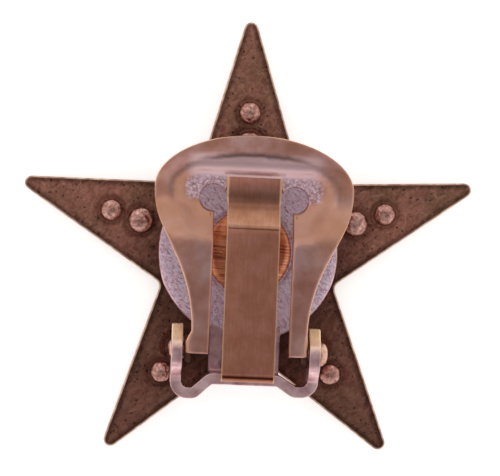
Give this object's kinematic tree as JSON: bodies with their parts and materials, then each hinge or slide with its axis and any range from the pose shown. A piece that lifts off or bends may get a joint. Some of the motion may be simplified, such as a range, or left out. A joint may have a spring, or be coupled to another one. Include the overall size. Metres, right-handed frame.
{
  "type": "star clip-on earring",
  "caption": "Flat five-pointed copper star with domed studs and a hinged paddle ear clip with a spring tongue on its back.",
  "frame": {"origin": "middle of the star's outline seen from the back, on the surface that the front stud heads rest on", "axes": "+X to the right seen from the back, +Y towards the star's top tip, +Z from the star's front out towards the clip"},
  "size_m": [0.0286, 0.0272, 0.0061],
  "materials": {
    "star_copper": "dark oxidised copper, brushed",
    "stud_copper": "polished copper",
    "clip_copper": "copper-plated, semi-bright",
    "rivet_copper": "copper-plated, polished",
    "solder": "dull tin-lead solder"
  },
  "bodies": {
    "star": {"star_plate": "star_copper", "inner_stud_1": "stud_copper", "inner_stud_2": "stud_copper", "inner_stud_3": "stud_copper", "inner_stud_4": "stud_copper", "inner_stud_5": "stud_copper", "outer_stud_1": "stud_copper", "outer_stud_2": "stud_copper", "outer_stud_3": "stud_copper", "outer_stud_4": "stud_copper", "outer_stud_5": "stud_copper", "solder_layer": "solder", "clip_base": "clip_copper", "hinge_rivet_left": "rivet_copper", "hinge_rivet_right": "rivet_copper"},
    "paddle": {"paddle": "clip_copper"},
    "tongue": {"spring_tongue": "clip_copper"}
  },
  "joints": [
    {"name": "paddle_hinge", "type": "hinge", "parent": "star", "child": "paddle", "pos_m": [-0.00016, -0.00732, 0.0048], "axis": [0.9997, -0.0262, 0], "range_deg": [0, 85]},
    {"name": "tongue_flex", "type": "hinge", "parent": "paddle", "child": "tongue", "pos_m": [0.00019, 0.00043, 0.0052], "axis": [0.9997, -0.0262, 0], "range_deg": [-15, 1]}
  ],
  "couplings": [
    {"joint": "tongue_flex", "follows": "paddle_hinge", "ratio": -0.17}
  ]
}
